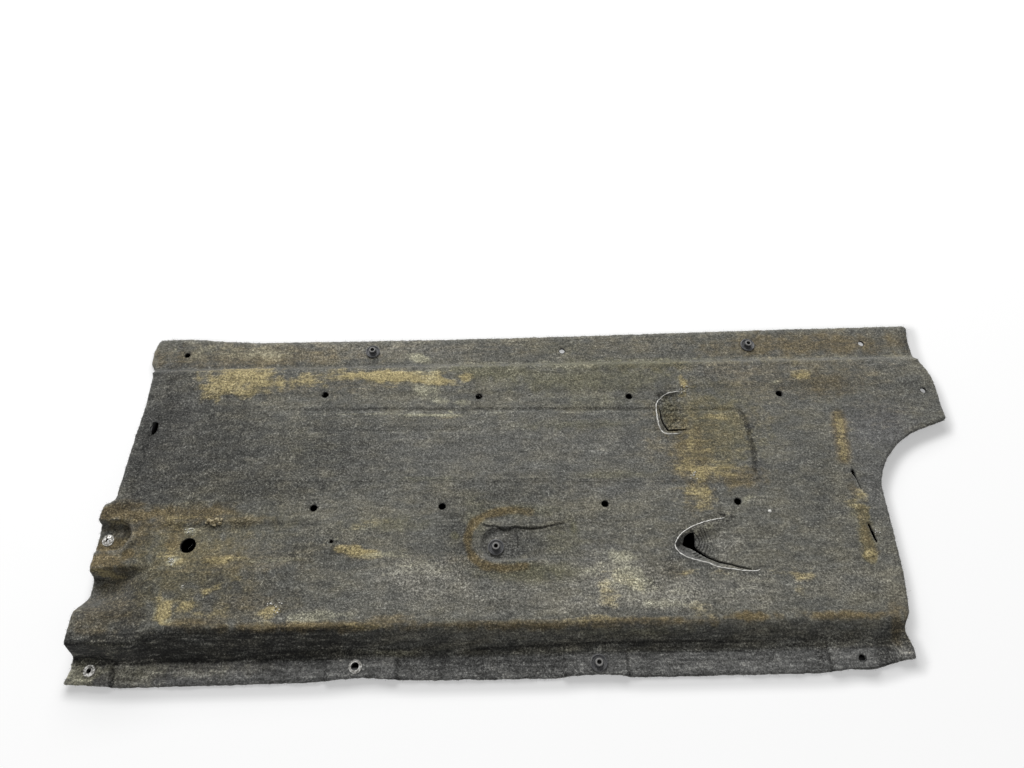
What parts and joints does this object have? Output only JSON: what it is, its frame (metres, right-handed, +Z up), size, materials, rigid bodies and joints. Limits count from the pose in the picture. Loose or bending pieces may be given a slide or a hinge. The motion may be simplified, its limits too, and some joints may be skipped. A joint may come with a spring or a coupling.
{
  "type": "side underbody panel",
  "caption": "Moulded felt shield for one side of a car's underside, with formed flanges, two air ducts, a corner cut-out and captive fasteners.",
  "frame": {"origin": "under the middle of the panel, on the plane that its flanges rest on", "axes": "+X along the car, from the lug end to the end with the cut-out and the ear; +Y across it, from the tunnel flange to the sill flange; +Z up, towards the road side"},
  "size_m": [1.227, 0.528, 0.04],
  "materials": {
    "felt": "grey needle felt, pressed hard, worn and muddy on the road side",
    "nut_plastic": "dark grey moulded plastic, dusty",
    "steel": "zinc-plated spring steel, dulled"
  },
  "bodies": {
    "root": {"felt_panel": "felt", "sill_nut_rear": "nut_plastic", "sill_nut_front": "nut_plastic", "recess_nut": "nut_plastic", "tunnel_nut": "nut_plastic", "tunnel_eyelet": "steel", "corner_washer": "steel", "lug_push_washer": "steel"}
  },
  "joints": []
}
